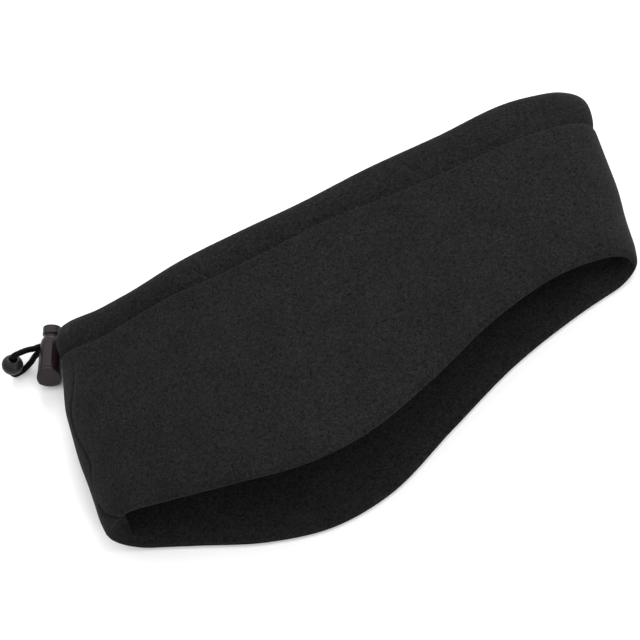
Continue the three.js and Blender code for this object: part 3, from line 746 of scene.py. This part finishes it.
# ---- The cord lock's barrel
# A push-button toggle of injection-moulded acetal. The barrel is a cup that widens to its closed
# end, with a grip rib on each face, its end cut off slantwise, and a slot across it for the cord.
PLUNGER_TRAVEL = 1.2
PLUNGER_TOP = 10.5
PLUNGER_HEAD = 4.3
HEAD_RADIUS = 4.1
FOOT_BAR = 2.2
BARREL_MOUTH = PLUNGER_TOP - PLUNGER_HEAD - PLUNGER_TRAVEL - CLEARANCE
BARREL_END = -16.2
BARREL_RADIUS = 5.1
SPRING_ROOM = 2.4
SLOT_HEIGHT = 4
SLOT_ROUND = 1.2
RIB_WIDTH = 2.8
RIB_PROUD = 0.25
RIB_FROM_MOUTH = 0.7
RIB_FOOT_HEIGHT = 1
RIB_FOOT_WIDTH = 4.2
RIB_FROM_FACET = 1.3
FACET_START = -11.4
FACET_SLOPE = 0.59
FACET_BLOCK = 20  # the block that cuts the slant, wider than the barrel
TURNED_SIDES = 96
MOULD_GRAIN = 0.15  # how finely the moulded pieces are remade, which rounds their edges
# The barrel's outline at its closed end and at its mouth, as shares of BARREL_RADIUS.
BARREL_BASE = [
    {"from_end": 0, "radius": 0.6},
    {"from_end": 0.083, "radius": 0.87},
    {"from_end": 0.31, "radius": 1},
    {"from_end": 1.18, "radius": 1},
]
BARREL_SHOULDER = [
    {"from_mouth": 0, "radius": 0.78},
    {"from_mouth": 0.2, "radius": 0.87},
    {"from_mouth": 0.42, "radius": 0.935},
    {"from_mouth": 1.19, "radius": 0.97},
]
slot_reach = STRAND_PITCH / 2 + CORD_DIAMETER / 2 + CLEARANCE


def profile(table, key, size, start, way, steps=9):
    """Points (radius, height) down a table of the lock's outline."""
    at = np.linspace(table[0][key], table[-1][key], steps)
    return [(r * size, start + way * a * size) for r, a in zip(read(table, key, "radius", at), at)]


def turned(name, outline, closed=False):
    """Spins an outline of (radius, height) about the Y axis, in millimetres of the lock."""
    turn = 2 * np.pi * np.arange(TURNED_SIDES) / TURNED_SIDES
    points = [(r * math.cos(a), h, r * math.sin(a)) for r, h in outline for a in turn]
    sections = len(outline)
    faces = ring_faces(sections, TURNED_SIDES, closed)
    if not closed:
        faces = faces[:-2]
    piece = object_from(name, points, faces, 1, 0)
    weld = bmesh.new()
    weld.from_mesh(piece.data)
    bmesh.ops.remove_doubles(weld, verts=weld.verts, dist=0.0001)
    if weld.calc_volume(signed=True) < 0:
        bmesh.ops.reverse_faces(weld, faces=weld.faces)
    weld.to_mesh(piece.data)
    weld.free()
    return piece


def prism(name, near, far):
    """A solid between two outlines of the same number of points."""
    return object_from(name, list(near) + list(far), ring_faces(2, len(near), False), 1, 0)


def arc(centre, radius, start, end, steps=6):
    turn = np.radians(np.linspace(start, end, steps))
    return [(centre[0] + radius * math.cos(a), centre[1] + radius * math.sin(a)) for a in turn]


def cord_slot(low, high):
    """The slot right across the lock for the two strands."""
    z, r = SLOT_HEIGHT / 2 - SLOT_ROUND, SLOT_ROUND
    outline = arc((-z, low + r), r, 180, 270) + arc((z, low + r), r, 270, 360)
    outline += arc((z, high - r), r, 0, 90) + arc((-z, high - r), r, 90, 180)
    reach = 2 * BARREL_RADIUS
    return prism("cord_slot", [(-reach, y, z) for z, y in outline], [(reach, y, z) for z, y in outline])


def grip_rib(way):
    """One rib along the barrel with its wider foot; way says on which face."""
    top, foot, half = BARREL_MOUTH - RIB_FROM_MOUTH, FACET_START + RIB_FROM_FACET, RIB_WIDTH / 2
    outline = [(-RIB_FOOT_WIDTH / 2, foot), (RIB_FOOT_WIDTH / 2, foot), (half, foot + RIB_FOOT_HEIGHT)]
    outline += arc((0, top - half), half, 0, 180, 13) + [(-half, foot + RIB_FOOT_HEIGHT)]
    inside, outside = SHAFT_RADIUS + 3 * CLEARANCE, BARREL_RADIUS + RIB_PROUD
    near = [(x, y, way * inside) for x, y in outline]
    far = [(x, y, way * outside) for x, y in outline]
    return prism("rib", near, far)


def moulded_from(piece, place, turns):
    """Rounds the piece's edges as moulding does, then puts it in its place on the model."""
    remesh = piece.modifiers.new("remesh", "REMESH")
    remesh.mode = "VOXEL"
    remesh.voxel_size = MOULD_GRAIN
    smooth = piece.modifiers.new("smooth", "SMOOTH")
    smooth.factor = 0.5
    smooth.iterations = 5
    apply_modifiers(piece)
    piece.data.materials.clear()
    moved = Matrix.Translation(Vector((place + PATTERN_SHIFT) / 1000))
    piece.data.transform(moved @ turns.to_4x4() @ Matrix.Scale(0.001, 4))
    piece.data.shade_smooth()


bore = SHAFT_RADIUS + CLEARANCE
cup_floor = -slot_reach - FOOT_BAR - PLUNGER_TRAVEL - SPRING_ROOM
barrel_outline = [(0, BARREL_END)] + profile(BARREL_BASE, "from_end", BARREL_RADIUS, BARREL_END, 1)
barrel_outline += profile(BARREL_SHOULDER, "from_mouth", BARREL_RADIUS, BARREL_MOUTH, -1)[::-1]
barrel_outline += [(bore, BARREL_MOUTH), (bore, cup_floor), (0, cup_floor)]
barrel = turned("barrel", barrel_outline)
slant = Matrix.Rotation(-math.atan(FACET_SLOPE), 3, "X")
facet_start = Vector((0, FACET_START, BARREL_RADIUS))
half = FACET_BLOCK / 2
corners = [(half, half), (half, -half), (-half, -half), (-half, half)]
facet = prism("facet", [slant @ Vector((x, 0, z)) + facet_start for x, z in corners],
              [slant @ Vector((x, -FACET_BLOCK, z)) + facet_start for x, z in corners])
carve(barrel, [("UNION", grip_rib(1)), ("UNION", grip_rib(-1)), ("DIFFERENCE", facet),
               ("DIFFERENCE", cord_slot(-slot_reach, slot_reach))])
moulded_from(barrel, lock_place, lock_turns)

# Acetal, moulded almost black with a warm cast: it mirrors a bright room dimly and softly, and its
# surface keeps the fine grain of the mould.
lock_plastic = new_material("moulded_dark_acetal")
place = add_node(lock_plastic, "ShaderNodeTexCoord", {}).outputs["Object"]
MOULD_SPECK = 0.35
MOULD_HAZE = 3
grain = add_node(lock_plastic, "ShaderNodeTexNoise", {"Scale": 1000 / MOULD_SPECK, "Detail": 2.0},
                 {"Vector": place})
haze = add_node(lock_plastic, "ShaderNodeTexNoise", {"Scale": 1000 / MOULD_HAZE, "Detail": 2.0},
                {"Vector": place})
bump = add_node(lock_plastic, "ShaderNodeBump", {"Strength": 0.15, "Distance": 0.00005},
                {"Height": grain.outputs["Fac"]})
tone = add_node(lock_plastic, "ShaderNodeMixRGB", {
    "Color1": linear("#170b10"), "Color2": linear("#1f1016")}, {"Fac": grain.outputs["Fac"]})
gloss = add_node(lock_plastic, "ShaderNodeMapRange", {"To Min": 0.3, "To Max": 0.4},
                 {"Value": haze.outputs["Fac"]})
moulded = add_node(lock_plastic, "ShaderNodeBsdfPrincipled", {"IOR": 1.48, "Specular IOR Level": 0.36}, {
    "Base Color": tone.outputs["Color"], "Roughness": gloss.outputs["Result"],
    "Normal": bump.outputs["Normal"]})
add_node(lock_plastic, "ShaderNodeOutputMaterial", {}, {"Surface": moulded.outputs["BSDF"]})
barrel.data.materials.append(lock_plastic)
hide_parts("lock_barrel")
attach(barrel, "band")

# ---- The cord lock's plunger
# The button that is pressed: a shaft that slides in the barrel on a small spring, slotted for the
# two strands, with a round head. It is moulded in the same acetal.
# The head's outline below and above, as shares of HEAD_RADIUS.
HEAD_UNDERSIDE = [
    {"from_under": 0, "radius": 0.92},
    {"from_under": 0.13, "radius": 1},
]
HEAD_CROWN = [
    {"from_top": 0, "radius": 0.6},
    {"from_top": 0.05, "radius": 0.87},
    {"from_top": 0.22, "radius": 1},
]
under = PLUNGER_TOP - PLUNGER_HEAD
shaft_foot = -slot_reach - FOOT_BAR
plunger_outline = [(0, shaft_foot), (SHAFT_RADIUS, shaft_foot), (SHAFT_RADIUS, under)]
plunger_outline += profile(HEAD_UNDERSIDE, "from_under", HEAD_RADIUS, under, 1, 3)
plunger_outline += profile(HEAD_CROWN, "from_top", HEAD_RADIUS, PLUNGER_TOP, -1)[::-1]
plunger = turned("plunger", plunger_outline + [(0, PLUNGER_TOP)])
carve(plunger, [("DIFFERENCE", cord_slot(-slot_reach, slot_reach + PLUNGER_TRAVEL))])
moulded_from(plunger, lock_place, lock_turns)
plunger.data.materials.append(lock_plastic)
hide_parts("lock_plunger")
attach(plunger, "plunger")

# ---- The bead
# A round bead of moulded plastic on the end of the loop, bored for the cord and a little shorter
# than it is wide. Its bore has rounded ends, so the cord bends into it without a sharp edge.
BEAD_RADIUS = 4.7
BEAD_BORE = CORD_DIAMETER / 2 + 1.5 * CLEARANCE
LIP_ROUND = 0.45
BALL_END = 58  # degrees from the bead's waist to its lip
ball = [(BEAD_RADIUS * math.cos(a), BEAD_HALF_LENGTH * math.sin(a))
        for a in np.radians(np.linspace(-BALL_END, BALL_END, 30))]
top_lip = arc((BEAD_BORE + LIP_ROUND, ball[-1][1] - LIP_ROUND), LIP_ROUND, 80, 180)
low_lip = [(r, -h) for r, h in top_lip[::-1]]
bead = turned("bead", ball + top_lip + low_lip, closed=True)
moulded_from(bead, bead_place, Vector((0, 1, 0)).rotation_difference(Vector(BEAD_AXIS)).to_matrix())

# Polystyrene, moulded almost black: a smooth ball on which each light is a small soft spot, with
# slow changes of gloss from handling.
bead_plastic = new_material("moulded_dark_polystyrene")
place = add_node(bead_plastic, "ShaderNodeTexCoord", {}).outputs["Object"]
BEAD_CLOUD = 1.5
cloud = add_node(bead_plastic, "ShaderNodeTexNoise", {"Scale": 1000 / BEAD_CLOUD, "Detail": 2.0},
                 {"Vector": place})
tone = add_node(bead_plastic, "ShaderNodeMixRGB", {
    "Color1": linear("#0f0d11"), "Color2": linear("#151318")}, {"Fac": cloud.outputs["Fac"]})
gloss = add_node(bead_plastic, "ShaderNodeMapRange", {"To Min": 0.38, "To Max": 0.48},
                 {"Value": cloud.outputs["Fac"]})
moulded = add_node(bead_plastic, "ShaderNodeBsdfPrincipled", {"IOR": 1.5, "Specular IOR Level": 0.24},
                   {"Base Color": tone.outputs["Color"], "Roughness": gloss.outputs["Result"]})
add_node(bead_plastic, "ShaderNodeOutputMaterial", {}, {"Surface": moulded.outputs["BSDF"]})
bead.data.materials.append(bead_plastic)
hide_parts("cord_bead")
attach(bead, "band")
path = [tuple(p) for p in (loop_curve[::5] + PATTERN_SHIFT) / 1000]
path.append(tuple((loop_curve[-1] + PATTERN_SHIFT) / 1000))

# ---- The surface, the light and the camera
# A plain white table top in a bright soft room, whose light comes mostly from above, with four
# softboxes round it, and a camera from above.
paper = new_material("matte_white_card")
place = add_node(paper, "ShaderNodeTexCoord", {}).outputs["Object"]
PAPER_TOOTH = 0.8
tooth = add_node(paper, "ShaderNodeTexNoise", {"Scale": 1000 / PAPER_TOOTH, "Detail": 2.0},
                 {"Vector": place})
bump = add_node(paper, "ShaderNodeBump", {"Strength": 0.05, "Distance": 0.0002},
                {"Height": tooth.outputs["Fac"]})
card = add_node(paper, "ShaderNodeBsdfPrincipled", {"Base Color": linear("#fbfbfb"), "Roughness": 0.9},
                {"Normal": bump.outputs["Normal"]})
add_node(paper, "ShaderNodeOutputMaterial", {}, {"Surface": card.outputs["BSDF"]})
surface_mesh = bpy.data.meshes.new("table_top")
surface_mesh.from_pydata([(-4, -4, 0), (4, -4, 0), (4, 4, 0), (-4, 4, 0)], [], [(0, 1, 2, 3)])
surface = bpy.data.objects.new("table_top", surface_mesh)
bpy.context.scene.collection.objects.link(surface)
surface.data.materials.append(paper)

room = bpy.data.worlds.new("bright_room")
room.use_nodes = True
sky = room.node_tree.nodes["Background"]
sky.inputs["Color"].default_value = linear("#ffffff")
place = add_node(room, "ShaderNodeTexCoord", {}).outputs["Generated"]
height = add_node(room, "ShaderNodeSeparateXYZ", {}, {"Vector": place}).outputs["Z"]
ceiling = add_node(room, "ShaderNodeMapRange", {"To Min": 0.1, "To Max": 1.5}, {"Value": height})
room.node_tree.links.new(ceiling.outputs["Result"], sky.inputs["Strength"])
bpy.context.scene.world = room
bpy.context.scene.view_settings.view_transform = "Standard"

SOFTBOXES = [
    {"name": "softbox_left", "place": (-0.57, 0.61, 0.69), "size": 0.35, "watts": 0.5},
    {"name": "softbox_right", "place": (0.78, -0.16, 0.77), "size": 0.35, "watts": 2.5},
    {"name": "softbox_front", "place": (0.3, -0.95, 0.42), "size": 0.4, "watts": 3.5},
    {"name": "softbox_back", "place": (0.5, 1.3, 0.8), "size": 0.9, "watts": 18},
]
for box in SOFTBOXES:
    light = bpy.data.lights.new(box["name"], "AREA")
    light.shape = "DISK"
    light.size = box["size"]
    light.energy = box["watts"]
    lamp = bpy.data.objects.new(box["name"], light)
    lamp.location = box["place"]
    lamp.rotation_euler = (-Vector(box["place"])).to_track_quat("-Z", "Y").to_euler()
    bpy.context.scene.collection.objects.link(lamp)

ELEVATION = math.radians(63)
ROLL = math.radians(24.07)
DISTANCE = 0.9
TARGET = Vector((-0.0133, 0.0222, 0))
LENS = 118.3
back = Vector((0, -math.cos(ELEVATION), math.sin(ELEVATION)))
right = Vector((1, 0, 0))
up = back.cross(right)
camera_data = bpy.data.cameras.new("camera")
camera_data.lens = LENS
camera_data.sensor_width = 36
camera = bpy.data.objects.new("camera", camera_data)
bpy.context.scene.collection.objects.link(camera)
level = Matrix((right * math.cos(ROLL) - up * math.sin(ROLL),
                right * math.sin(ROLL) + up * math.cos(ROLL), back)).transposed()
camera.matrix_world = Matrix.Translation(TARGET + back * DISTANCE) @ level.to_4x4()
bpy.context.scene.camera = camera

bpy.context.view_layer.update()
